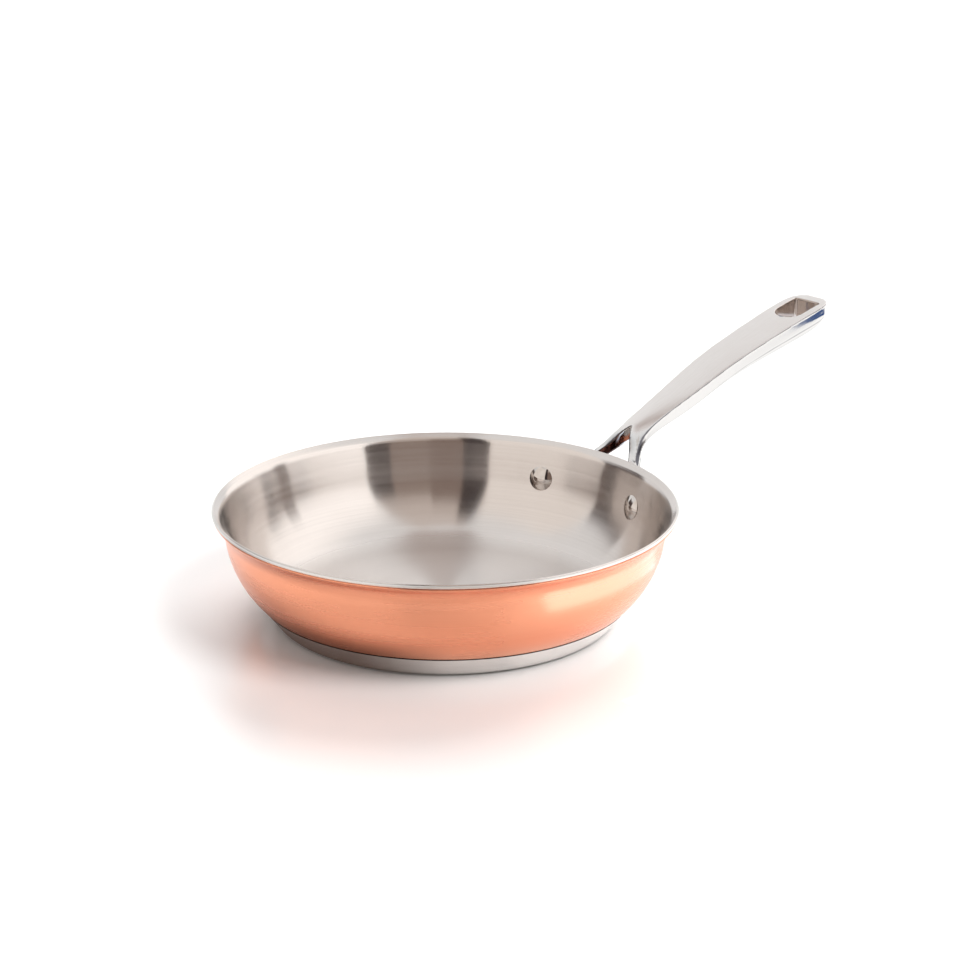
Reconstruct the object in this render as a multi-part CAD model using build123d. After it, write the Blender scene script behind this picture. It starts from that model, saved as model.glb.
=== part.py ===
from build123d import *
import math

# A low copper frying pan with a steel lining and a forked cast handle.
# Millimetres. The origin is the centre of the foot, on the floor.
# X runs out along the handle, Z is up.

# Pan body, from the lip inwards and down, measured on the copper's outside face
lip_radius = 120.0
lip_length = 4.5
floor_height = 4.6
heel_radius = 29.5
heel_slope = 43.5
wall_radius = 54.2
wall_slope = 84.0
straight_height = 0.6
flare_radius = 13.5
flare_slope = 45.0

# Plies of the clad sheet, from the outside in
copper_thickness = 0.6
core_thickness = 1.2
liner_thickness = 0.8
copper_lip_trim = 1.4

# Foot under the body, which reaches out past the flat of the floor by a step
foot_step_width = 7.0
foot_corner_radius = 7.2
foot_side_slope = 52.0
foot_height = 12.2
cap_thickness = 0.8

# Grip, as stations from the fork to half-way: out past the lip, up from the lip
near_reach = (7.0, 10.0, 14.0, 18.0, 24.0, 36.0, 48.0, 60.0)
near_half_width = (14.7, 12.8, 11.0, 9.9, 9.3, 9.3, 9.9, 10.8)
near_rise = (-1.3, 1.3, 4.6, 7.5, 11.0, 16.2, 20.8, 25.2)
near_depth = (5.4, 5.2, 5.0, 5.0, 5.4, 6.8, 8.2, 9.2)
near_side_height = (4.8, 4.6, 4.4, 4.4, 4.8, 6.1, 7.2, 7.3)
near_splay = (3.0, 2.6, 2.0, 1.4, 0.7, 0.1, 0.0, 0.0)
near_crown = (1.4, 2.0, 3.6, 4.0, 2.9, 1.4, 0.8, 0.5)

# Grip, from half-way to the rounded tip
far_reach = (84.0, 108.0, 132.0, 152.0, 162.0, 168.0, 171.6, 173.8)
far_half_width = (12.1, 12.8, 13.4, 13.8, 13.6, 12.4, 10.0, 5.0)
far_rise = (34.0, 41.1, 47.2, 51.8, 53.8, 54.8, 55.4, 55.8)
far_depth = (11.0, 13.0, 14.9, 15.8, 15.2, 13.2, 10.6, 7.2)
far_side_height = (6.0, 5.1, 4.9, 4.9, 4.9, 4.7, 4.4, 4.0)
far_splay = (0.0, 0.0, 0.0, 0.0, 0.0, 0.0, 0.0, 0.0)
far_crown = (0.35, 0.35, 0.35, 0.35, 0.33, 0.3, 0.2, 0.1)
belly_pull_share = 0.62

# Hang hole, set back from the tip
hang_round_set_back = 21.5
hang_round_radius = 8.9
hang_flat_set_back = 6.6
hang_flat_half_width = 8.9
hang_corner_radius = 1.5

# Crotch of the fork, half of its outline from the pan to its point
crotch_reach = (-3.0, 4.0, 7.0, 10.0, 13.0, 16.0, 19.0)
crotch_half_width = (20.0, 12.7, 10.1, 7.6, 4.9, 2.7, 0.9)
crotch_point = 21.0

# Fork, as stations on the top face of one prong, from the grip to its pad
prong_reach = (11.5, 7.0, 3.0, -1.2, -7.4)
prong_offset = (9.7, 13.0, 17.6, 23.8, 30.6)
prong_rise = (2.5, -1.3, -5.0, -8.1, -10.5)
prong_width = (4.6, 4.4, 4.5, 5.0, 6.0)
prong_splay = (2.6, 3.0, 3.0, 2.6, 2.0)
prong_depth = (4.8, 5.6, 6.4, 6.4, 6.4)
prong_edge_radius = 0.8

# Rivets and the pads they hold
rivet_offset = 34.3
rivet_drop = 18.3
pad_thickness = 3.5
pad_half_width = 12.0
pad_half_height = 12.5
pad_lift = 1.5
shank_radius = 3.0
shank_clearance = 0.05
inner_head_radius = 6.6
inner_head_height = 2.4
outer_head_radius = 5.4
outer_head_height = 1.7
head_edge_height = 0.5

# One length by which every cutting body overshoots what it cuts
overrun = 4.0

# What follows from the sizes above
sheet_thickness = copper_thickness + core_thickness + liner_thickness
core_depth = copper_thickness
liner_depth = copper_thickness + core_thickness


def sine(degrees):
    return math.sin(math.radians(degrees))


def cosine(degrees):
    return math.cos(math.radians(degrees))


def along(point, slope, length):
    """The point reached from another by going a length up a slope."""
    return (point[0] + length * cosine(slope), point[1] + length * sine(slope))


def under(centre, radius, slope):
    """The point of a circle's lower half where it has this slope."""
    return (centre[0] + radius * sine(slope), centre[1] - radius * cosine(slope))


def over(centre, radius, slope):
    """The point of a circle's upper half where it has this slope."""
    return (centre[0] - radius * sine(slope), centre[1] + radius * cosine(slope))


def swing(place, centre, radius, start, end):
    """An arc between two slopes of one circle."""
    points = [place(centre, radius, slope) for slope in (start, (start + end) / 2, end)]
    return ThreePointArc(*points)


# How far each stretch of the side goes out leaves what the flat floor gets
heel_run = heel_radius * sine(heel_slope)
wall_run = wall_radius * (sine(wall_slope) - sine(heel_slope))
straight_run = straight_height * cosine(wall_slope)
flare_run = flare_radius * (sine(wall_slope) - sine(flare_slope))
lip_run = lip_length * cosine(flare_slope) - core_depth * sine(flare_slope)
floor_radius = lip_radius - heel_run - wall_run - straight_run - flare_run - lip_run
foot_radius = floor_radius + foot_step_width

# Centres of the arcs that the body's side is made of
heel_centre = (floor_radius, floor_height + heel_radius)
heel_end = under(heel_centre, heel_radius, heel_slope)
wall_centre = over(heel_end, wall_radius, heel_slope)
wall_end = under(wall_centre, wall_radius, wall_slope)
flare_start = along(wall_end, wall_slope, straight_height)
flare_centre = under(flare_start, flare_radius, wall_slope)
flare_end = over(flare_centre, flare_radius, flare_slope)
lip_height = along(flare_end, flare_slope, lip_length)[1]

# Where the rivets and the tip of the handle come to lie
rivet_height = lip_height - rivet_drop
rivet_slope = math.degrees(math.acos((wall_centre[1] - rivet_height) / wall_radius))
rivet_reach = under(wall_centre, wall_radius, rivet_slope)[0]
rivet_angle = math.degrees(math.asin(rivet_offset / rivet_reach))
tip_reach = lip_radius + far_reach[-1]
cutter_height = 2 * (lip_height + far_rise[-1])


def side_edges(depth, trim):
    """The body's side at a depth below the copper's face, axis to lip."""
    centre_point = (0, floor_height + depth)
    heel_point = (floor_radius, floor_height + depth)
    low_end = under(wall_centre, wall_radius - depth, wall_slope)
    flare_foot = over(flare_centre, flare_radius + depth, wall_slope)
    flare_top = over(flare_centre, flare_radius + depth, flare_slope)
    lip_end = along(flare_top, flare_slope, lip_length - trim)
    edges = [
        Line(centre_point, heel_point),
        swing(under, heel_centre, heel_radius - depth, 0, heel_slope),
        swing(under, wall_centre, wall_radius - depth, heel_slope, wall_slope),
        Line(low_end, flare_foot),
        swing(over, flare_centre, flare_radius + depth, wall_slope, flare_slope),
        Line(flare_top, lip_end),
    ]
    return edges, centre_point, lip_end


def turn(edges):
    """The solid that a closed outline sweeps round the pan's axis."""
    face = make_face(edges)
    return revolve(Plane.XZ * face, axis=Axis.Z, revolution_arc=360)


def ply(depth, thickness, trim):
    """One layer of the clad sheet."""
    outside, outside_start, outside_end = side_edges(depth, trim)
    inside, inside_start, inside_end = side_edges(depth + thickness, trim)
    ends = [Line(outside_end, inside_end), Line(outside_start, inside_start)]
    return turn(outside + inside + ends)


def bowl(depth):
    """All that lies inside the body's side at a depth, up to its lip."""
    edges, start, end = side_edges(depth, 0)
    top = (0, end[1])
    return turn(edges + [Line(end, top), Line(top, start)])


def foot_block(inset):
    """The foot as one block, its faces moved in by the inset."""
    corner_centre = (foot_radius, foot_corner_radius)
    corner = foot_corner_radius - inset
    corner_end = under(corner_centre, corner, foot_side_slope)
    rise = (foot_height - corner_end[1]) / sine(foot_side_slope)
    side_end = along(corner_end, foot_side_slope, rise)
    base_centre = (0, inset)
    top_centre = (0, foot_height)
    edges = [
        Line(base_centre, (foot_radius, inset)),
        swing(under, corner_centre, corner, 0, foot_side_slope),
        Line(corner_end, side_end),
        Line(side_end, top_centre),
        Line(top_centre, base_centre),
    ]
    return turn(edges)


def rivet_plane(side):
    """A frame on the copper's face: Z goes out along the rivet."""
    turned = side * rivet_angle
    origin = (rivet_reach * cosine(turned), side * rivet_offset, rivet_height)
    level_share = sine(rivet_slope)
    outward = (level_share * cosine(turned), level_share * sine(turned), -cosine(rivet_slope))
    level = (-sine(turned), cosine(turned), 0)
    return Plane(origin=origin, x_dir=level, z_dir=outward)


def rivet_bore(side):
    """What the rivet's hole takes away."""
    reach = sheet_thickness + pad_thickness + overrun
    drill = Cylinder(shank_radius + shank_clearance, 2 * reach)
    return rivet_plane(side) * drill


def dome(radius, height):
    """A low round head standing on the plane, with a foot below it."""
    edges = [
        Line((0, -overrun), (radius, -overrun)),
        Line((radius, -overrun), (radius, head_edge_height)),
        TangentArc((0, height), (radius, head_edge_height), tangent=(1, 0)),
        Line((0, height), (0, -overrun)),
    ]
    return turn(edges)


def rivet(side, lining_bowl, pad_bowl):
    """A rivet: shank, inner head on the lining, outer head on the pad."""
    plane = rivet_plane(side)
    inner = Rot(180, 0, 0) * dome(inner_head_radius, inner_head_height)
    inner = plane * (Pos(0, 0, -sheet_thickness) * inner)
    outer = plane * (Pos(0, 0, pad_thickness) * dome(outer_head_radius, outer_head_height))
    length = sheet_thickness + pad_thickness + 2 * head_edge_height
    middle = (pad_thickness - sheet_thickness) / 2
    shank = plane * (Pos(0, 0, middle) * Cylinder(shank_radius, length))
    return (inner & lining_bowl) + (outer - pad_bowl) + shank


def grip_section(reach, half_width, rise, depth, side_height, splay, crown):
    """One cross-section of the grip: flat top, upright side, round belly."""
    top = lip_height + rise
    side_foot = (half_width + splay, top - side_height)
    bottom = (0, top - depth)
    pull_down = (side_foot[0], side_foot[1] - belly_pull_share * (side_foot[1] - bottom[1]))
    pull_in = (side_foot[0] * belly_pull_share, bottom[1])
    other_foot, other_down, other_in = [(-x, y) for x, y in (side_foot, pull_down, pull_in)]
    edges = [
        Line((half_width, top), side_foot),
        Bezier(side_foot, pull_down, pull_in, bottom),
        Bezier(bottom, other_in, other_down, other_foot),
        Line(other_foot, (-half_width, top)),
        ThreePointArc((-half_width, top), (0, top + crown), (half_width, top)),
    ]
    plane = Plane(origin=(lip_radius + reach, 0, 0), x_dir=(0, 1, 0), z_dir=(1, 0, 0))
    return plane * make_face(edges)


def hang_hole():
    """The hang hole: round towards the pan, straight towards the tip."""
    centre = tip_reach - hang_round_set_back
    flat = tip_reach - hang_flat_set_back
    straight = Polyline(
        (centre, hang_round_radius),
        (flat, hang_flat_half_width),
        (flat, -hang_flat_half_width),
        (centre, -hang_round_radius),
    )
    round_end = ThreePointArc(
        (centre, -hang_round_radius),
        (centre - hang_round_radius, 0),
        (centre, hang_round_radius),
    )
    face = make_face([straight, round_end])
    corners = face.vertices().sort_by(Axis.X)[-2:]
    face = fillet(corners, hang_corner_radius)
    return extrude(face, amount=cutter_height)


def crotch():
    """The gap that splits the grip's end into the two arms of the fork."""
    point = (lip_radius + crotch_point, 0)
    half = [(lip_radius + x, y) for x, y in zip(crotch_reach, crotch_half_width)]
    other = [(x, -y) for x, y in reversed(half)]
    edges = [
        Spline(*half, point),
        Spline(point, *other),
        Line(other[-1], half[0]),
    ]
    return extrude(make_face(edges), amount=cutter_height)


def grip():
    """The grip from the fork to its tip, with its hang hole and its crotch cut."""
    near = (near_reach, near_half_width, near_rise, near_depth, near_side_height, near_splay, near_crown)
    far = (far_reach, far_half_width, far_rise, far_depth, far_side_height, far_splay, far_crown)
    stations = list(zip(*near)) + list(zip(*far))
    bar = loft([grip_section(*station) for station in stations])
    return bar - hang_hole() - crotch()


def prong_section(side, width, depth, splay):
    """A prong's cross-section: narrow top face, outer side splayed out."""
    outer_top = side * width / 2
    outer_foot = side * (width / 2 + splay)
    inner = -side * width / 2
    rise = depth / 2
    points = [(inner, rise), (outer_top, rise), (outer_foot, -rise), (inner, -rise)]
    face = make_face(Polyline(*points, close=True))
    return fillet(face.vertices(), prong_edge_radius)


def prong(side):
    """One prong of the fork, a blade that turns down on to its pad."""
    tops = [
        Vector(lip_radius + reach, side * offset, lip_height + rise)
        for reach, offset, rise in zip(prong_reach, prong_offset, prong_rise)
    ]
    sections = []
    for index, top in enumerate(tops):
        before = tops[max(index - 1, 0)]
        after = tops[min(index + 1, len(tops) - 1)]
        path = (before - after).normalized()
        level = Vector(0, 0, 1).cross(path).normalized()
        up = path.cross(level).normalized()
        centre = top - up * (prong_depth[index] / 2)
        plane = Plane(origin=centre, x_dir=level, z_dir=path)
        section = prong_section(side, prong_width[index], prong_depth[index], prong_splay[index])
        sections.append(plane * section)
    return loft(sections)


def pad(side, pad_bowl, body_bowl):
    """The plate that a rivet holds against the wall."""
    reach = pad_thickness + overrun
    oval = extrude(Ellipse(pad_half_width, pad_half_height), amount=reach, both=True)
    placed = rivet_plane(side) * (Pos(0, pad_lift, 0) * oval)
    return (placed & pad_bowl) - body_bowl


def handle(pad_bowl, body_bowl):
    """The cast handle: grip, two prongs, two pads and their bores."""
    shape = grip()
    for side in (1, -1):
        shape = shape + prong(side)
        shape = shape + pad(side, pad_bowl, body_bowl)
    shape = shape - body_bowl
    for side in (1, -1):
        shape = shape - rivet_bore(side)
    return shape


def drilled(shape):
    """A ply with both rivet holes."""
    return shape - rivet_bore(1) - rivet_bore(-1)


body_bowl = bowl(0)
lining_bowl = bowl(sheet_thickness)
pad_bowl = bowl(-pad_thickness)
foot_core = foot_block(cap_thickness) - body_bowl
foot_cap = foot_block(0) - body_bowl - foot_core

export_step(drilled(ply(0, copper_thickness, copper_lip_trim)), "parts/copper_shell.step")
export_step(drilled(ply(core_depth, core_thickness, 0)), "parts/aluminium_core.step")
export_step(drilled(ply(liner_depth, liner_thickness, 0)), "parts/stainless_liner.step")
export_step(foot_core, "parts/base_core.step")
export_step(foot_cap, "parts/base_cap.step")
export_step(handle(pad_bowl, body_bowl), "parts/handle.step")
export_step(rivet(1, lining_bowl, pad_bowl), "parts/rivet_left.step")
export_step(rivet(-1, lining_bowl, pad_bowl), "parts/rivet_right.step")
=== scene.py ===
import math

import bmesh
import bpy
from mathutils import Matrix, Vector


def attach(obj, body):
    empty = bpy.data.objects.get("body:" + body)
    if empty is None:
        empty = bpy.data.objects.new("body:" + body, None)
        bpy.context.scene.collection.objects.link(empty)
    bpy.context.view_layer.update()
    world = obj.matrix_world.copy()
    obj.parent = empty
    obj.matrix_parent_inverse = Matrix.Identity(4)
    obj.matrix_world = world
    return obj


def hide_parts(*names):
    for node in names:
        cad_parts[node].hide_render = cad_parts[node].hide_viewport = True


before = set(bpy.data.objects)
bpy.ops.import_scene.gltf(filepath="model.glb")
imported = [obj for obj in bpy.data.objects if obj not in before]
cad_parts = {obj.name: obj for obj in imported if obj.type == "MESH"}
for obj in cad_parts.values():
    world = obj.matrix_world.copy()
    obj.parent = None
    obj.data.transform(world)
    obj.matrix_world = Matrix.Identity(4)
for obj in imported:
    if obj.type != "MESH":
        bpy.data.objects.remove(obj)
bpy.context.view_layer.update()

MM = 0.001
UP = Vector((0, 0, 1))
ACROSS = (0, 1, 0)

# Sizes of the pan in millimetres and slopes in degrees, as its solids have them
LIP_RADIUS = 120.0
LIP_LENGTH = 4.5
FLOOR_HEIGHT = 4.6
HEEL_RADIUS, HEEL_SLOPE = 29.5, 43.5
WALL_RADIUS, WALL_SLOPE = 54.2, 84.0
STRAIGHT_HEIGHT = 0.6
FLARE_RADIUS, FLARE_SLOPE = 13.5, 45.0
COPPER_THICKNESS, CORE_THICKNESS, LINING_THICKNESS = 0.6, 1.2, 0.8
COPPER_LIP_TRIM = 1.4
SHEET_THICKNESS = COPPER_THICKNESS + CORE_THICKNESS + LINING_THICKNESS
FOOT_STEP = 7.0
FOOT_CORNER_RADIUS, FOOT_SIDE_SLOPE, FOOT_HEIGHT = 7.2, 52.0, 12.2
CAP_THICKNESS = 0.8
RIVET_OFFSET, RIVET_DROP = 34.3, 18.3
PAD_THICKNESS = 3.5
INNER_HEAD_RADIUS, INNER_HEAD_HEIGHT = 6.6, 2.4
OUTER_HEAD_RADIUS, OUTER_HEAD_HEIGHT = 5.4, 1.7
HEAD_EDGE_HEIGHT = 0.5
SHANK_RADIUS = 3.0
HEAD_SEAT = 0.25  # how far a head is sunk into what it lies on, so that no gap shows

# Small rounds that wear leaves, and how near two points are before they are merged, in millimetres
LIP_ROUND, COPPER_EDGE_ROUND = 0.22, 0.15
WELD, CASTING_WELD = 0.01, 0.002

# How fine the skins are: the steps of each arc and full turn, and the casting's grid in millimetres
HEEL_STEPS, WALL_STEPS, FLARE_STEPS = 12, 16, 10
CORNER_STEPS, RIM_STEPS = 12, 4
INNER_DOME_STEPS, OUTER_DOME_STEPS = 14, 12
TURN_STEPS, RIVET_TURN_STEPS = 288, 64
CASTING_GRID, CASTING_SMOOTHING = 0.5, 3


def sine(degrees):
    return math.sin(math.radians(degrees))


def cosine(degrees):
    return math.cos(math.radians(degrees))


LIP_RUN = LIP_LENGTH * cosine(FLARE_SLOPE) - COPPER_THICKNESS * sine(FLARE_SLOPE)
FLARE_RUN = FLARE_RADIUS * (sine(WALL_SLOPE) - sine(FLARE_SLOPE))
STRAIGHT_RUN = STRAIGHT_HEIGHT * cosine(WALL_SLOPE)
WALL_RUN = WALL_RADIUS * (sine(WALL_SLOPE) - sine(HEEL_SLOPE))
HEEL_RUN = HEEL_RADIUS * sine(HEEL_SLOPE)
FLOOR_RADIUS = LIP_RADIUS - HEEL_RUN - WALL_RUN - STRAIGHT_RUN - FLARE_RUN - LIP_RUN
FOOT_RADIUS = FLOOR_RADIUS + FOOT_STEP
WALL_CENTRE_REACH = FLOOR_RADIUS + HEEL_RUN - WALL_RADIUS * sine(HEEL_SLOPE)
HEEL_RISE = HEEL_RADIUS * (1 - cosine(HEEL_SLOPE))
WALL_CENTRE_HEIGHT = FLOOR_HEIGHT + HEEL_RISE + WALL_RADIUS * cosine(HEEL_SLOPE)


class Outline:
    """A chain of edges in the XZ plane, drawn by moving and turning its last point."""

    def __init__(self, reach, height):
        self.mesh = bmesh.new()
        self.slope = 0.0
        self.end = self.mesh.verts.new((reach * MM, 0, height * MM))

    def close_to(self, reach, height):
        """A straight stretch to a given point."""
        goal = Vector((reach * MM, 0, height * MM))
        made = bmesh.ops.extrude_vert_indiv(self.mesh, verts=[self.end])
        bmesh.ops.translate(self.mesh, verts=made["verts"], vec=goal - self.end.co)
        self.end = made["verts"][0]

    def go(self, length, slope=None):
        """A straight stretch, along the slope it has or a new one."""
        if slope is not None:
            self.slope = slope
        reach, height = self.end.co.x / MM, self.end.co.z / MM
        self.close_to(reach + length * cosine(self.slope), height + length * sine(self.slope))

    def bend(self, radius, slope, steps):
        """An arc that starts in the slope so far and ends in a new one."""
        turn = slope - self.slope
        side = 1 if turn > 0 else -1
        aside = Vector((-sine(self.slope), 0, cosine(self.slope))) * side * radius * MM
        made = bmesh.ops.spin(
            self.mesh, geom=[self.end], cent=self.end.co + aside, axis=ACROSS,
            angle=-math.radians(turn), steps=steps, use_duplicate=False)
        self.end = [item for item in made["geom_last"] if isinstance(item, bmesh.types.BMVert)][0]
        self.slope = slope

    def turn(self, steps):
        """The outline swept round the Z axis into a closed skin."""
        geometry = self.mesh.verts[:] + self.mesh.edges[:]
        bmesh.ops.spin(
            self.mesh, geom=geometry, cent=(0, 0, 0), axis=UP, angle=math.tau,
            steps=steps, use_merge=True, use_duplicate=False)
        bmesh.ops.remove_doubles(self.mesh, verts=self.mesh.verts, dist=WELD * MM)
        bmesh.ops.recalc_face_normals(self.mesh, faces=self.mesh.faces)
        return self.mesh


def piece(name, mesh, material, sharp=40):
    """Makes a smooth shaded object of a bmesh that keeps its sharp edges."""
    data = bpy.data.meshes.new(name)
    for face in mesh.faces:
        face.smooth = True
    for edge in mesh.edges:
        if len(edge.link_faces) == 2 and edge.calc_face_angle() > math.radians(sharp):
            edge.smooth = False
    mesh.to_mesh(data)
    mesh.free()
    made = bpy.data.objects.new(name, data)
    bpy.context.scene.collection.objects.link(made)
    data.materials.append(material)
    return made


def stand_in(made, slot, *nodes):
    """Puts a piece on the pan in the place of CAD nodes."""
    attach(made, "root")
    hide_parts(*nodes)


def soften_rings(mesh, width, sharp=35, segments=3):
    """Breaks every sharp ring edge of a turned piece with a small round."""
    edges = [
        edge for edge in mesh.edges
        if len(edge.link_faces) == 2 and edge.calc_face_angle() > math.radians(sharp)
    ]
    bmesh.ops.bevel(
        mesh, geom=edges, offset=width * MM, affect="EDGES", segments=segments,
        profile=0.5, material=-1, clamp_overlap=True)


# Pan body


def ply(depth, thickness, trim, edge_round):
    """One layer of the clad sheet, from its outside depth inwards, its lip trimmed."""
    line = Outline(0, FLOOR_HEIGHT + depth)
    line.go(FLOOR_RADIUS, 0)
    line.bend(HEEL_RADIUS - depth, HEEL_SLOPE, HEEL_STEPS)
    line.bend(WALL_RADIUS - depth, WALL_SLOPE, WALL_STEPS)
    line.go(STRAIGHT_HEIGHT)
    line.bend(FLARE_RADIUS + depth, FLARE_SLOPE, FLARE_STEPS)
    line.go(LIP_LENGTH - trim)
    line.go(thickness, FLARE_SLOPE + 90)
    line.go(LIP_LENGTH - trim, FLARE_SLOPE + 180)
    inner = depth + thickness
    line.bend(FLARE_RADIUS + inner, WALL_SLOPE + 180, FLARE_STEPS)
    line.go(STRAIGHT_HEIGHT)
    line.bend(WALL_RADIUS - inner, HEEL_SLOPE + 180, WALL_STEPS)
    line.bend(HEEL_RADIUS - inner, 180, HEEL_STEPS)
    line.close_to(0, FLOOR_HEIGHT + inner)
    mesh = line.turn(TURN_STEPS)
    soften_rings(mesh, edge_round)
    return mesh


def heel_slope_at(reach):
    """The slope of the copper's heel, in degrees, at a distance from the axis."""
    return math.degrees(math.asin((reach - FLOOR_RADIUS) / HEEL_RADIUS))


def heel_reach_at(height):
    """How far from the axis the copper's heel is at a height."""
    drop = FLOOR_HEIGHT + HEEL_RADIUS - height
    return FLOOR_RADIUS + math.sqrt(HEEL_RADIUS * HEEL_RADIUS - drop * drop)


def run_to_heel(reach, height, slope):
    """How long a line from a point is before it meets the copper's heel."""
    aside, below = reach - FLOOR_RADIUS, height - FLOOR_HEIGHT - HEEL_RADIUS
    half = aside * cosine(slope) + below * sine(slope)
    return -half - math.sqrt(half * half + HEEL_RADIUS * HEEL_RADIUS - aside * aside - below * below)


def foot_cap():
    """The steel cap of the foot, a dish whose rim lies against the copper."""
    line = Outline(0, 0)
    line.go(FOOT_RADIUS, 0)
    line.bend(FOOT_CORNER_RADIUS, FOOT_SIDE_SLOPE, CORNER_STEPS)
    line.go((FOOT_HEIGHT - line.end.co.z / MM) / sine(FOOT_SIDE_SLOPE))
    inner_corner = FOOT_CORNER_RADIUS - CAP_THICKNESS
    corner_reach = FOOT_RADIUS + inner_corner * sine(FOOT_SIDE_SLOPE)
    corner_height = FOOT_CORNER_RADIUS - inner_corner * cosine(FOOT_SIDE_SLOPE)
    inner_run = run_to_heel(corner_reach, corner_height, FOOT_SIDE_SLOPE)
    inner_reach = corner_reach + inner_run * cosine(FOOT_SIDE_SLOPE)
    rim_reach = heel_reach_at(FOOT_HEIGHT)
    line.close_to(rim_reach, FOOT_HEIGHT)
    line.slope = 180 + heel_slope_at(rim_reach)
    line.bend(HEEL_RADIUS, 180 + heel_slope_at(inner_reach), RIM_STEPS)
    line.close_to(corner_reach, corner_height)
    line.slope = 180 + FOOT_SIDE_SLOPE
    line.bend(inner_corner, 180, CORNER_STEPS)
    line.close_to(0, CAP_THICKNESS)
    return line.turn(TURN_STEPS)


# Rivets


def rivet_place(side):
    """Where a rivet's axis crosses the copper's face, with Z out along the rivet."""
    flare_height = WALL_CENTRE_HEIGHT - WALL_RADIUS * cosine(WALL_SLOPE)
    flare_height += STRAIGHT_HEIGHT * sine(WALL_SLOPE)
    flare_height += FLARE_RADIUS * (cosine(FLARE_SLOPE) - cosine(WALL_SLOPE))
    height = flare_height + LIP_LENGTH * sine(FLARE_SLOPE) - RIVET_DROP
    slope = math.degrees(math.acos((WALL_CENTRE_HEIGHT - height) / WALL_RADIUS))
    reach = WALL_CENTRE_REACH + WALL_RADIUS * sine(slope)
    turned = side * math.asin(RIVET_OFFSET / reach)
    place = Vector((reach * math.cos(turned), reach * math.sin(turned), height)) * MM
    tilt = Matrix.Rotation(math.radians(180 - slope), 4, "Y")
    return Matrix.Translation(place) @ Matrix.Rotation(turned, 4, "Z") @ tilt


def dome(radius, height):
    """The radius of a rivet head's dome, and its slope at the head's edge."""
    rise = height - HEAD_EDGE_HEIGHT
    curve = (radius ** 2 + rise ** 2) / (2 * rise)
    return curve, math.degrees(math.asin(radius / curve))


def rivet(side):
    """A rivet: a polished head inside, a shank and a flatter head outside."""
    inner_seat, outer_seat = HEAD_SEAT - SHEET_THICKNESS, PAD_THICKNESS - HEAD_SEAT
    line = Outline(0, -SHEET_THICKNESS - INNER_HEAD_HEIGHT)
    curve, edge_slope = dome(INNER_HEAD_RADIUS, INNER_HEAD_HEIGHT)
    line.bend(curve, edge_slope, INNER_DOME_STEPS)
    line.close_to(INNER_HEAD_RADIUS, inner_seat)
    line.close_to(SHANK_RADIUS, inner_seat)
    line.close_to(SHANK_RADIUS, outer_seat)
    line.close_to(OUTER_HEAD_RADIUS, outer_seat)
    line.close_to(OUTER_HEAD_RADIUS, PAD_THICKNESS + HEAD_EDGE_HEIGHT)
    curve, edge_slope = dome(OUTER_HEAD_RADIUS, OUTER_HEAD_HEIGHT)
    line.slope = 180 - edge_slope
    line.bend(curve, 180, OUTER_DOME_STEPS)
    mesh = line.turn(RIVET_TURN_STEPS)
    bmesh.ops.transform(mesh, matrix=rivet_place(side), verts=mesh.verts)
    return mesh


# Handle


def smooth_casting(node):
    """A CAD casting as an even skin whose edges are worn to a small round."""
    mesh = bmesh.new()
    mesh.from_mesh(node.data)
    bmesh.ops.remove_doubles(mesh, verts=mesh.verts, dist=CASTING_WELD * MM)
    rough = bpy.data.meshes.new("casting_rough")
    mesh.to_mesh(rough)
    mesh.free()
    rough_object = bpy.data.objects.new("casting_rough", rough)
    bpy.context.scene.collection.objects.link(rough_object)
    even = rough_object.modifiers.new("even", "REMESH")
    even.mode = "VOXEL"
    even.voxel_size = CASTING_GRID * MM
    bpy.context.view_layer.update()
    evaluated = rough_object.evaluated_get(bpy.context.evaluated_depsgraph_get())
    shown = bpy.data.meshes.new_from_object(evaluated)
    mesh = bmesh.new()
    mesh.from_mesh(shown)
    bpy.data.objects.remove(rough_object)
    for _ in range(CASTING_SMOOTHING):
        bmesh.ops.smooth_vert(
            mesh, verts=mesh.verts, factor=0.5, use_axis_x=True, use_axis_y=True, use_axis_z=True)
    return mesh


# Tools for materials


def join(tree, value, socket):
    """Links an output to a socket, or sets the socket where a plain value is given."""
    if isinstance(value, bpy.types.NodeSocket):
        tree.links.new(value, socket)
    else:
        socket.default_value = value


def add_node(tree, kind, values=None, **settings):
    """A node with its settings, and its inputs given as a dictionary."""
    node = tree.nodes.new("ShaderNode" + kind)
    for name, value in settings.items():
        setattr(node, name, value)
    for name, value in (values or {}).items():
        join(tree, value, node.inputs[name])
    return node


def sum_of(tree, first, second):
    """Two values added."""
    return add_node(tree, "Math", {0: first, 1: second}, operation="ADD").outputs[0]


def product(tree, first, second):
    """Two values multiplied, which for masks is where both hold."""
    return add_node(tree, "Math", {0: first, 1: second}, operation="MULTIPLY").outputs[0]


def between(tree, value, low, high, to_low=0.0, to_high=1.0):
    """A value taken smoothly from one range to another, and held at its ends."""
    given = {"Value": value, "From Min": low, "From Max": high, "To Min": to_low, "To Max": to_high}
    return add_node(tree, "MapRange", given, interpolation_type="SMOOTHSTEP").outputs["Result"]


def inside_span(tree, value, low, high, edge):
    """One between two limits and nought outside them, with soft edges."""
    rise = between(tree, value, low - edge, low + edge)
    return product(tree, rise, between(tree, value, high - edge, high + edge, 1.0, 0.0))


def mixed(tree, share, first, second):
    """A colour between two others."""
    node = add_node(tree, "Mix", {"Factor": share}, data_type="RGBA", blend_type="MIX")
    sockets = [item for item in node.inputs if item.type == "RGBA"]
    for socket, colour in zip(sockets, (first, second)):
        join(tree, colour if isinstance(colour, bpy.types.NodeSocket) else (*colour, 1), socket)
    return [item for item in node.outputs if item.type == "RGBA"][0]


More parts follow.
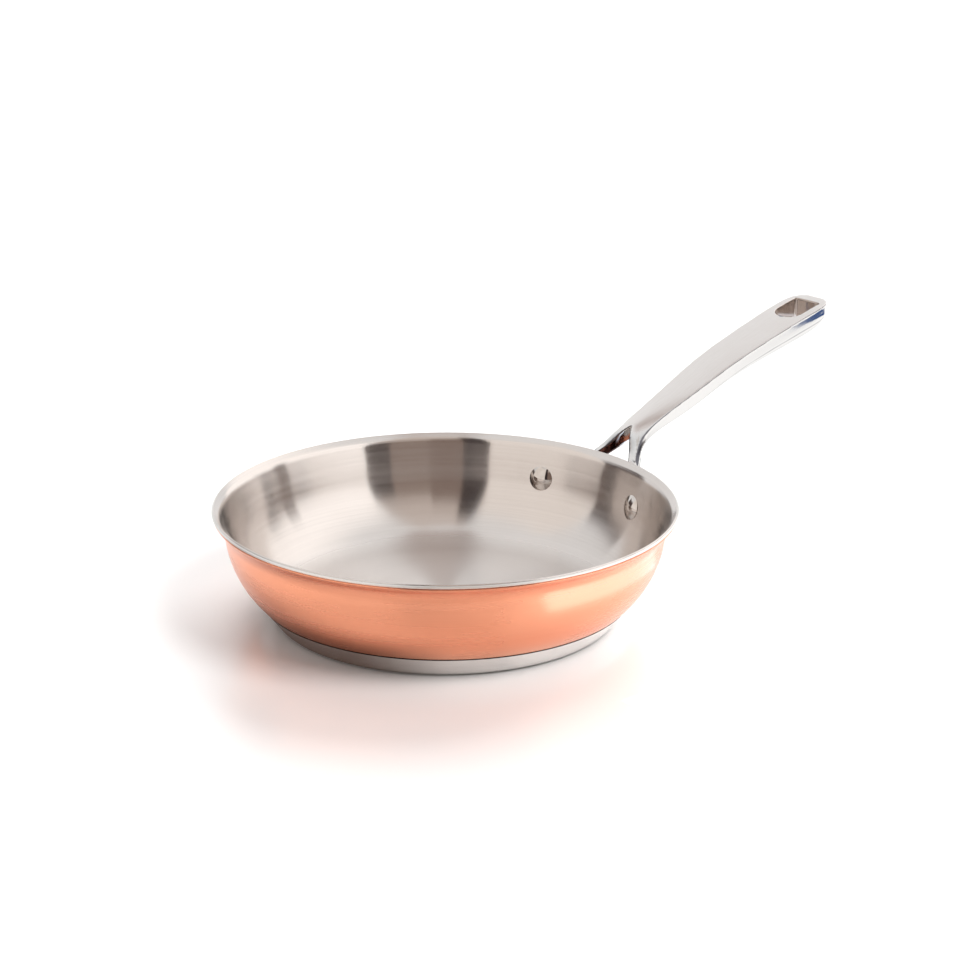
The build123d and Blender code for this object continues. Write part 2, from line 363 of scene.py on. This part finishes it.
def effect_group(name, inputs, outputs):
    """An empty node group with its named inputs and outputs."""
    made = bpy.data.node_groups.new(name, "ShaderNodeTree")
    made.interface.new_socket(name="Place", in_out="INPUT", socket_type="NodeSocketVector")
    for label, preset in inputs.items():
        socket = made.interface.new_socket(name=label, in_out="INPUT", socket_type="NodeSocketFloat")
        socket.default_value = preset
    for label in outputs:
        made.interface.new_socket(name=label, in_out="OUTPUT", socket_type="NodeSocketFloat")
    return made, made.nodes.new("NodeGroupInput").outputs, made.nodes.new("NodeGroupOutput").inputs


def ring_grain_group():
    """Fine lines that run round the pan's axis, as on turned or circle-brushed metal."""
    tree, given, out = effect_group("ring_grain", {"Fineness": 900.0, "Drift": 6.0}, ["Lines", "Bands"])
    parts = add_node(tree, "SeparateXYZ", {0: given["Place"]}).outputs
    level = add_node(tree, "CombineXYZ", {0: parts[0], 1: parts[1]}).outputs[0]
    distance = add_node(tree, "VectorMath", {0: level}, operation="LENGTH").outputs["Value"]
    across = product(tree, sum_of(tree, distance, parts[2]), given["Fineness"])
    slow_x = product(tree, parts[0], given["Drift"])
    slow_y = product(tree, parts[1], given["Drift"])
    for label, share, detail in (("Lines", 1.0, 3.0), ("Bands", 0.12, 2.0)):
        stretched = {0: product(tree, across, share), 1: slow_x, 2: slow_y}
        where = add_node(tree, "CombineXYZ", stretched).outputs[0]
        fibres = {"Vector": where, "Scale": 1.0, "Detail": detail, "Roughness": 0.6}
        noise = add_node(tree, "TexNoise", fibres)
        join(tree, between(tree, noise.outputs[0], 0.3, 0.7), out[label])
    return tree


def handling_group():
    """Faint cloudy marks and small scuffs, as metal gets from washing and use."""
    tree, given, out = effect_group("handling", {"Size": 40.0}, ["Clouds", "Scuffs"])
    clouds = add_node(tree, "TexNoise", {"Vector": given["Place"], "Scale": given["Size"], "Detail": 3.0})
    smaller = product(tree, given["Size"], 9.0)
    scuffs = add_node(
        tree, "TexNoise", {"Vector": given["Place"], "Scale": smaller, "Detail": 5.0, "Distortion": 0.6})
    join(tree, between(tree, clouds.outputs[0], 0.35, 0.65), out["Clouds"])
    join(tree, between(tree, scuffs.outputs[0], 0.56, 0.72), out["Scuffs"])
    return tree


RING_GRAIN = ring_grain_group()
HANDLING = handling_group()


class Finish:
    """A material with its nodes, its Object coordinates and its shader at hand."""

    def __init__(self, name, metallic=1.0):
        self.material = bpy.data.materials.new(name)
        self.material.use_nodes = True
        self.tree = self.material.node_tree
        self.shader = self.tree.nodes["Principled BSDF"]
        self.shader.inputs["Metallic"].default_value = metallic
        self.place = add_node(self.tree, "TexCoord").outputs["Object"]

    def height(self):
        """How high a point is above the floor, in metres."""
        return add_node(self.tree, "SeparateXYZ", {0: self.place}).outputs[2]

    def effect(self, group, **values):
        """Places a node group, fed with the coordinates and its own values."""
        node = add_node(self.tree, "Group", node_tree=group)
        join(self.tree, self.place, node.inputs["Place"])
        for name, value in values.items():
            join(self.tree, value, node.inputs[name])
        return node.outputs

    def feed(self, name, value):
        """Gives the shader an input that changes over the surface."""
        join(self.tree, value, self.shader.inputs[name])

    def grooves(self, height, strength, distance):
        """Bumps the surface by a height."""
        values = {"Height": height, "Strength": strength, "Distance": distance}
        self.feed("Normal", add_node(self.tree, "Bump", values).outputs["Normal"])

    def turned(self, amount):
        """Stretches the gloss across grooves that run round the pan's axis."""
        self.shader.inputs["Anisotropic"].default_value = amount
        self.shader.inputs["Anisotropic Rotation"].default_value = 0.25
        self.feed("Tangent", add_node(self.tree, "Tangent", direction_type="RADIAL", axis="Z").outputs[0])


# Materials


# Heights of the band of painted shade and tarnish at the joint, and of the floor's edge, and depths of the
# brush marks
JOINT_SHADE_AND_TARNISH = (11.6 * MM, 12.8 * MM)
FLOOR_DISC_EDGE = (7.4 * MM, 14.0 * MM)
GRAIN_DEPTH = 0.0004 * MM
BRUSH_DEPTH = 0.02 * MM


def lining_finish():
    """Steel brushed in circles inside the pan, with a duller and paler floor."""
    finish = Finish("lining_brushed_steel")
    tree = finish.tree
    grain = finish.effect(RING_GRAIN, Fineness=2600.0, Drift=7.0)
    marks = finish.effect(HANDLING, Size=26.0)
    floor_disc = between(tree, finish.height(), *FLOOR_DISC_EDGE, 1.0, 0.0)
    colour = mixed(tree, grain["Lines"], (0.64, 0.60, 0.575), (0.68, 0.64, 0.615))
    colour = mixed(tree, product(tree, marks["Clouds"], 0.25), colour, (0.62, 0.57, 0.54))
    finish.feed("Base Color", mixed(tree, product(tree, floor_disc, 0.8), colour, (0.84, 0.80, 0.775)))
    rough = between(tree, grain["Bands"], 0.0, 1.0, 0.165, 0.185)
    rough = sum_of(tree, rough, product(tree, marks["Clouds"], 0.01))
    finish.feed("Roughness", sum_of(tree, rough, product(tree, floor_disc, 0.16)))
    finish.turned(1.0)
    lines = product(tree, grain["Lines"], GRAIN_DEPTH)
    finish.grooves(sum_of(tree, lines, spun_wall(finish)), 1.0, 1.0)
    return finish.material


# The slope that the lining's reflections keep, and the height where they start to follow the lip again
EVEN_SLOPE = 75.5
EVEN_TOP, EVEN_FADE = 55.5, 3.2


def dip_up_the_wall():
    """Heights on the lining, and how far in it would lie there to keep an even slope to the lip."""
    inner_wall, inner_flare = WALL_RADIUS - SHEET_THICKNESS, FLARE_RADIUS + SHEET_THICKNESS
    stretches = (
        (inner_wall * math.radians(WALL_SLOPE - EVEN_SLOPE), EVEN_SLOPE, WALL_SLOPE, 5),
        (STRAIGHT_HEIGHT, WALL_SLOPE, WALL_SLOPE, 1),
        (inner_flare * math.radians(WALL_SLOPE - FLARE_SLOPE), WALL_SLOPE, FLARE_SLOPE, 9),
        (LIP_LENGTH, FLARE_SLOPE, FLARE_SLOPE, 3))
    height, dip = WALL_CENTRE_HEIGHT - inner_wall * cosine(EVEN_SLOPE), 0.0
    places = [(height, dip)]
    for length, slope_from, slope_to, steps in stretches:
        run = length / steps
        for step in range(steps):
            slope = slope_from + (slope_to - slope_from) * (step + 0.5) / steps
            share = min(1.0, max(0.0, 1 - (height + run / 2 - EVEN_TOP) / EVEN_FADE))
            height += run * sine(slope)
            dip += run * math.tan(math.radians((EVEN_SLOPE - slope) * share))
            places.append((height, dip))
    return places


def spun_wall(finish):
    """The shading of a wall spun evenly up to the lip, as a height in metres for the bump."""
    places = dip_up_the_wall()
    low, high = places[0][0], places[-1][0]
    dips = [dip for _, dip in places]
    deepest, span = min(dips), max(dips) - min(dips)
    marks = [((height - low) / (high - low), (dip - deepest) / span) for height, dip in places]
    reach = {"Value": finish.height(), "From Min": low * MM, "From Max": high * MM}
    along = add_node(finish.tree, "MapRange", reach).outputs["Result"]
    curve = add_node(finish.tree, "FloatCurve", {"Value": along})
    points = curve.mapping.curves[0].points
    points[0].location, points[1].location = marks[0], marks[-1]
    for mark in marks[1:-1]:
        points.new(*mark)
    curve.mapping.update()
    return product(finish.tree, curve.outputs[0], span * MM)


def sheet_finish():
    """The bare aluminium in the sheet's middle, seen only at the lip."""
    finish = Finish("sheet_edge_aluminium")
    grain = finish.effect(RING_GRAIN, Fineness=3200.0, Drift=9.0)
    finish.feed("Base Color", mixed(finish.tree, grain["Lines"], (0.70, 0.68, 0.66), (0.80, 0.78, 0.76)))
    finish.feed("Roughness", between(finish.tree, grain["Bands"], 0.0, 1.0, 0.2, 0.3))
    return finish.material


def joint_shade_and_tarnish(finish):
    """A narrow dark band where the foot meets the copper: painted shade in that joint, and the tarnish that
    sits in it.
    """
    low, high = JOINT_SHADE_AND_TARNISH
    edge = (high - low) / 3
    height = finish.height()
    rise = between(finish.tree, height, low, low + edge)
    return product(finish.tree, rise, between(finish.tree, height, high - edge, high, 1.0, 0.0))


def copper_finish():
    """Satin copper with fine rings, a little browner where it has been handled."""
    finish = Finish("satin_copper")
    tree = finish.tree
    grain = finish.effect(RING_GRAIN, Fineness=1700.0, Drift=2.0)
    marks = finish.effect(HANDLING, Size=18.0)
    colour = mixed(tree, grain["Lines"], (0.85, 0.35, 0.21), (0.87, 0.37, 0.225))
    colour = mixed(tree, product(tree, marks["Clouds"], 0.25), colour, (0.83, 0.32, 0.185))
    # The joint's band darkens the copper here: painted shade, with tarnish.
    finish.feed("Base Color", mixed(tree, joint_shade_and_tarnish(finish), colour, (0.06, 0.03, 0.025)))
    rough = between(tree, grain["Bands"], 0.0, 1.0, 0.24, 0.27)
    finish.feed("Roughness", sum_of(tree, rough, product(tree, marks["Clouds"], 0.015)))
    finish.turned(0.35)
    finish.grooves(grain["Lines"], 0.001, BRUSH_DEPTH)
    return finish.material


def foot_finish():
    """The foot's satin steel, turned in rings and duller at its worn corner."""
    finish = Finish("foot_satin_steel")
    tree = finish.tree
    grain = finish.effect(RING_GRAIN, Fineness=2200.0, Drift=7.0)
    marks = finish.effect(HANDLING, Size=30.0)
    worn = between(tree, finish.height(), 0.0, 3 * MM, 1.0, 0.0)
    colour = mixed(tree, grain["Lines"], (0.78, 0.75, 0.73), (0.85, 0.825, 0.805))
    colour = mixed(tree, product(tree, worn, 0.4), colour, (0.55, 0.52, 0.50))
    # The joint's band darkens the foot here: painted shade, with tarnish.
    finish.feed("Base Color", mixed(tree, joint_shade_and_tarnish(finish), colour, (0.06, 0.04, 0.035)))
    rough = between(tree, grain["Bands"], 0.0, 1.0, 0.15, 0.2)
    rough = sum_of(tree, rough, product(tree, marks["Scuffs"], 0.06))
    finish.feed("Roughness", sum_of(tree, rough, product(tree, worn, 0.12)))
    finish.turned(0.5)
    finish.grooves(grain["Lines"], 0.03, BRUSH_DEPTH)
    return finish.material


# Where the fork's inner faces end and how much they turn to the middle, bounding the painted shade on them,
# and where the hang hole lies, whose walls get painted light and shade
FORK_FACES_END = (134 * MM, 144 * MM)
TURNED_IN = (-4 * MM, -1 * MM)
HANG_HOLE_SPAN = (262.5 * MM, 287.8 * MM)
HANG_HOLE_HALF_WIDTH = (9.2 * MM, 9.8 * MM)


def handle_side(finish, out):
    """The polished sides: bright, with painted shade that darkens the belly, painted dark reflections as
    lines along both edges, painted shade on the fork's inner faces, and painted light and shade on the hang
    hole's walls.
    """
    tree, up = finish.tree, out[2]
    # Painted shade: the sides darken as they turn down to the belly.
    belly_painted_shade = between(tree, up, -0.75, -0.3, 1.0, 0.0)
    side = mixed(tree, belly_painted_shade, (0.66, 0.655, 0.65), (0.38, 0.375, 0.375))
    # Painted dark reflections: a grey line along the lower edge and a dark one along the upper edge.
    side = mixed(tree, inside_span(tree, up, -0.30, -0.23, 0.03), side, (0.30, 0.30, 0.31))
    side = mixed(tree, inside_span(tree, up, 0.3, 0.66, 0.1), side, (0.10, 0.10, 0.115))
    spot = add_node(tree, "SeparateXYZ", {0: finish.place}).outputs
    # Painted shade on the fork's inner faces, where they turn to the middle.
    near_fork = between(tree, spot[0], *FORK_FACES_END, 1.0, 0.0)
    turned_in = product(tree, out[1], spot[1])
    fork_painted_shade = product(tree, near_fork, between(tree, turned_in, *TURNED_IN, 1.0, 0.0))
    side = mixed(tree, fork_painted_shade, side, (0.09, 0.07, 0.07))
    aside = add_node(tree, "Math", {0: spot[1]}, operation="ABSOLUTE").outputs[0]
    near_hole = inside_span(tree, spot[0], *HANG_HOLE_SPAN, 0.5 * MM)
    hole = product(tree, near_hole, between(tree, aside, *HANG_HOLE_HALF_WIDTH, 1.0, 0.0))
    # Painted light and shade on the hang hole's walls: darker on the wall that faces the pan, brighter on
    # the one that faces the tip.
    facing_pan = between(tree, out[0], -0.6, -0.3, 1.0, 0.0)
    hole_wall_light_and_shade = mixed(tree, facing_pan, (0.62, 0.57, 0.54), (0.44, 0.39, 0.36))
    hole_wall_light_and_shade = mixed(tree, between(tree, out[0], 0.1, 0.5), hole_wall_light_and_shade, (0.92, 0.88, 0.85))
    return mixed(tree, hole, side, hole_wall_light_and_shade)


def handle_finish():
    """Cast steel, satin on the faces that look up and polished round the sides."""
    finish = Finish("handle_cast_steel")
    tree = finish.tree
    marks = finish.effect(HANDLING, Size=30.0)
    out = add_node(tree, "SeparateXYZ", {0: add_node(tree, "NewGeometry").outputs["Normal"]}).outputs
    satin = between(tree, out[2], 0.72, 0.86)
    lengthways = {"Vector": finish.place, "Scale": (40.0, 2200.0, 300.0)}
    stretched = add_node(tree, "Mapping", lengthways).outputs[0]
    grain = add_node(tree, "TexNoise", {"Vector": stretched, "Scale": 1.0, "Detail": 3.0}).outputs[0]
    lines = product(tree, between(tree, grain, 0.3, 0.7), satin)
    top = mixed(tree, lines, (0.79, 0.765, 0.75), (0.755, 0.725, 0.705))
    top = mixed(tree, product(tree, marks["Clouds"], 0.3), top, (0.74, 0.705, 0.685))
    finish.feed("Base Color", mixed(tree, satin, handle_side(finish, out), top))
    rough = sum_of(tree, product(tree, satin, 0.24), 0.09)
    finish.feed("Roughness", sum_of(tree, rough, product(tree, marks["Scuffs"], 0.06)))
    finish.grooves(lines, 0.03, BRUSH_DEPTH)
    return finish.material


def rivet_finish():
    """Bright polished rivet steel with faint scuffs."""
    finish = Finish("rivet_polished_steel")
    tree = finish.tree
    marks = finish.effect(HANDLING, Size=160.0)
    finish.feed("Base Color", mixed(tree, marks["Clouds"], (0.66, 0.62, 0.59), (0.56, 0.52, 0.49)))
    finish.feed("Roughness", sum_of(tree, product(tree, marks["Scuffs"], 0.1), 0.07))
    return finish.material


def spreader_finish():
    """Rolled aluminium of the disc inside the foot."""
    finish = Finish("spreader_aluminium")
    tree = finish.tree
    marks = finish.effect(HANDLING, Size=50.0)
    finish.feed("Base Color", mixed(tree, marks["Clouds"], (0.74, 0.73, 0.72), (0.64, 0.63, 0.62)))
    finish.feed("Roughness", sum_of(tree, product(tree, marks["Scuffs"], 0.1), 0.4))
    return finish.material


def floor_finish():
    """A plain white floor with a faint gloss."""
    finish = Finish("floor_white", metallic=0.0)
    finish.shader.inputs["Base Color"].default_value = (0.9, 0.895, 0.89, 1)
    finish.shader.inputs["Roughness"].default_value = 0.3
    finish.shader.inputs["IOR"].default_value = 2.8
    return finish.material


# Making the pieces

lining_sheet = ply(COPPER_THICKNESS + CORE_THICKNESS, LINING_THICKNESS, 0, LIP_ROUND)
stand_in(piece("lining", lining_sheet, lining_finish()), "liner_steel", "stainless_liner")
middle_sheet = ply(COPPER_THICKNESS, CORE_THICKNESS, 0, LIP_ROUND)
stand_in(piece("sheet_middle", middle_sheet, sheet_finish()), "core_aluminium", "aluminium_core")
copper_sheet = ply(0, COPPER_THICKNESS, COPPER_LIP_TRIM, COPPER_EDGE_ROUND)
stand_in(piece("copper_outside", copper_sheet, copper_finish()), "copper", "copper_shell")
stand_in(piece("foot_dish", foot_cap(), foot_finish()), "foot_steel", "base_cap")
rivet_steel = rivet_finish()
for name, node, side in (("rivet_head_left", "rivet_left", 1), ("rivet_head_right", "rivet_right", -1)):
    stand_in(piece(name, rivet(side), rivet_steel, sharp=50), "rivet_steel", node)
casting = smooth_casting(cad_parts["handle"])
stand_in(piece("handle_casting", casting, handle_finish(), sharp=180), "handle_steel", "handle")
spreader_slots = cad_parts["base_core"].data.materials
spreader_slots.clear()
spreader_slots.append(spreader_finish())


# Camera, from a fit to the pan's rim, sides and foot in the photograph

camera = bpy.data.objects.new("camera", bpy.data.cameras.new("camera"))
bpy.context.scene.collection.objects.link(camera)
bpy.context.scene.camera = camera
camera.data.sensor_width = 36.0
camera.data.lens = 110.204
camera.data.clip_start, camera.data.clip_end = 0.01, 50.0
ahead = Vector((0.66541, 0.67243, -0.32415)).normalized()
rightward = Vector((0.71144, -0.70274, 0.00265)).normalized()
camera_place = Vector((-1.00678, -1.04986, 0.56553))
camera_tilt = Matrix((rightward, rightward.cross(ahead), -ahead)).transposed().to_4x4()
camera.matrix_world = Matrix.Translation(camera_place) @ camera_tilt


# Floor, world and lamps

# Sizes in metres, the sky's brightness, and a card's segments in degrees
FLOOR_SIZE = 12.0
SKY_ON_OBJECT, SKY_BEHIND = 0.44, 1.0
BACK, FRONT = 4.4, 4.0  # how far from the pan cards stand, some in front of others
CEILING_HEIGHT = 4.0
FLOOR_CARD_HEIGHT = 0.5 * MM
CARD_SEGMENT = 3
FADE_START = 0.04  # how far out along its deepest azimuth a fading floor card starts to show


def heading(azimuth, elevation):
    """A direction from the pan, its azimuth counted rightwards from straight ahead of the camera."""
    level = Vector((ahead.x, ahead.y, 0)).normalized()
    aside = Vector((rightward.x, rightward.y, 0)).normalized()
    flat = level * cosine(azimuth) + aside * sine(azimuth)
    return flat * cosine(elevation) + UP * sine(elevation)


def studio_floor():
    """The plain floor, which keeps the pan's shadow."""
    mesh = bmesh.new()
    bmesh.ops.create_grid(mesh, x_segments=1, y_segments=1, size=FLOOR_SIZE)
    piece("floor", mesh, floor_finish())


def studio_sky():
    """A world that is white where it is seen or mirrored, and a dimmer light on everything else."""
    world = bpy.data.worlds.new("studio")
    bpy.context.scene.world = world
    world.use_nodes = True
    tree = world.node_tree
    tree.nodes.clear()
    paths = add_node(tree, "LightPath").outputs
    seen = sum_of(tree, paths["Is Camera Ray"], paths["Is Glossy Ray"])
    seen = sum_of(tree, seen, paths["Is Transmission Ray"])
    soft, bright = [
        add_node(tree, "Background", {"Color": (1, 1, 1, 1), "Strength": strength}).outputs[0]
        for strength in (SKY_ON_OBJECT, SKY_BEHIND)]
    both = add_node(tree, "MixShader", {0: seen, 1: soft, 2: bright}).outputs[0]
    join(tree, both, add_node(tree, "OutputWorld").inputs["Surface"])


def soft_lamp(name, azimuth, elevation, energy, spread):
    """A wide soft light from one side, for the floor and its shadows."""
    lamp = bpy.data.objects.new(name, bpy.data.lights.new(name, "SUN"))
    bpy.context.scene.collection.objects.link(lamp)
    lamp.data.energy = energy
    lamp.data.angle = math.radians(spread)
    lamp.rotation_mode = "QUATERNION"
    lamp.rotation_quaternion = heading(azimuth, elevation).to_track_quat("Z", "Y")
    lamp.visible_glossy = False


def card_finish(name, colour):
    """A plain card that glows in its own colour and mirrors nothing."""
    finish = Finish(name + "_card", metallic=0.0)
    finish.shader.inputs["Base Color"].default_value = (0, 0, 0, 1)
    finish.shader.inputs["Specular IOR Level"].default_value = 0.0
    finish.shader.inputs["Emission Color"].default_value = (*colour, 1)
    finish.shader.inputs["Emission Strength"].default_value = 1.0
    return finish


def only_mirrored(made):
    """Lets a card show in reflections alone: the camera doesn't see it, and it casts no light or shadow."""
    for ray in ("camera", "diffuse", "transmission", "volume_scatter", "shadow"):
        setattr(made, "visible_" + ray, False)


def swept(mesh, ends, start, end, steps):
    """An edge between two places, swept round the pan from one azimuth to another."""
    corners = [mesh.verts.new(place) for place in ends]
    edge = mesh.edges.new(corners)
    bmesh.ops.spin(
        mesh, geom=[*corners, edge], cent=(0, 0, 0), axis=UP, angle=-math.radians(end - start),
        steps=steps, use_duplicate=False)


def card(name, distance, start, end, low, high, colour, fade):
    """A curved card round the pan, between two azimuths and two elevations, that fades at its top."""
    foot, foot_end, fade_start, head = [
        distance * math.tan(math.radians(slope)) for slope in (low, low + 1, high - fade, high)]
    mesh = bmesh.new()
    near = heading(start, 0) * distance
    swept(mesh, (near + UP * foot, near + UP * head), start, end, max(2, int((end - start) / CARD_SEGMENT)))
    finish = card_finish(name, colour)
    height = finish.height()
    share = between(finish.tree, height, foot, foot_end)
    share = product(finish.tree, share, between(finish.tree, height, fade_start, head, 1.0, 0.0))
    finish.feed("Alpha", share)
    only_mirrored(piece(name, mesh, finish.material))


def ceiling_card(name, left, right, near, far, colour):
    """A level card over the pan, placed in metres right of and ahead of its axis."""
    mesh = bmesh.new()
    bmesh.ops.create_grid(mesh, x_segments=1, y_segments=1, size=0.5)
    level, aside = heading(0, 0), heading(90, 0)
    centre = aside * (left + right) / 2 + level * (near + far) / 2 + UP * CEILING_HEIGHT
    spread = Matrix((aside * (right - left), level * (far - near), UP)).transposed().to_4x4()
    bmesh.ops.transform(mesh, matrix=Matrix.Translation(centre) @ spread, verts=mesh.verts)
    only_mirrored(piece(name, mesh, card_finish(name, colour).material))


def floor_card(name, start, end, near, far, colour, share, deepest=None):
    """A card flat on the floor, part of a ring round the pan, that may fade from its deepest azimuth."""
    mesh = bmesh.new()
    ends = [heading(start, 0) * reach + UP * FLOOR_CARD_HEIGHT for reach in (near, far)]
    swept(mesh, ends, start, end, int((end - start) / CARD_SEGMENT))
    finish = card_finish(name, colour)
    finish.shader.inputs["Alpha"].default_value = share
    if deepest is not None:
        tree = finish.tree
        towards = {0: finish.place, 1: heading(deepest, 0)}
        along = add_node(tree, "VectorMath", towards, operation="DOT_PRODUCT").outputs["Value"]
        reach = add_node(tree, "VectorMath", {0: finish.place}, operation="LENGTH").outputs["Value"]
        fade = between(tree, along, FADE_START, near)
        fade = product(tree, fade, between(tree, reach, near, far, 1.0, 0.0))
        finish.feed("Alpha", product(tree, fade, share))
    only_mirrored(piece(name, mesh, finish.material))


studio_floor()
studio_sky()
soft_lamp("light_behind", 20, 28, 3.6, 50)
soft_lamp("light_right", 125, 47, 2.4, 30)

# For each card its distance, two azimuths, two elevations, colour and fade, clockwise from the right
card("softbox_on_right", BACK, 30, 136, -4, 64, (1.55, 1.5, 1.46), 30)
card("stand_on_right", FRONT, 77, 86, -4, 24, (0.45, 0.42, 0.41), 10)
card("ceiling_behind_camera", BACK, 136, 204, 10, 80, (0.76, 0.67, 0.61), 10)
card("room_edge_right", FRONT, 135, 149, -6, 40, (0.05, 0.035, 0.033), 12)
card("room_behind_camera", FRONT, 149, 170, -6, 42, (0.29, 0.215, 0.18), 12)
card("room_behind_left", FRONT, 170, 189, -6, 50, (0.25, 0.18, 0.15), 12)
card("room_edge_left", FRONT, 189, 203, -6, 70, (0.05, 0.036, 0.035), 14)
card("wall_on_left", BACK, 203, 272, -4, 62, (1.1, 1.03, 0.97), 10)
card("doorway_on_left", FRONT, 272, 304, -6, 28, (0.1, 0.075, 0.07), 10)
# For the card overhead its left, right, near and far edge, and for those on the floor
# two azimuths, two distances from the pan's axis, colour and share
ceiling_card("beam_overhead", -0.5, 0.65, 0.4, 3.4, (0.42, 0.33, 0.3))
floor_card("glow_on_right", 75, 143, 0.145, 0.32, (2.1, 2.35, 2.65), 0.9)
floor_card("blue_on_right", 50, 72, 0.60, 0.69, (0.03, 0.09, 0.28), 1.0)
floor_card("shade_on_left", 165, 315, 0.084, 0.12, (0.08, 0.045, 0.035), 0.85, 240)

bpy.context.scene.view_settings.view_transform = "Standard"
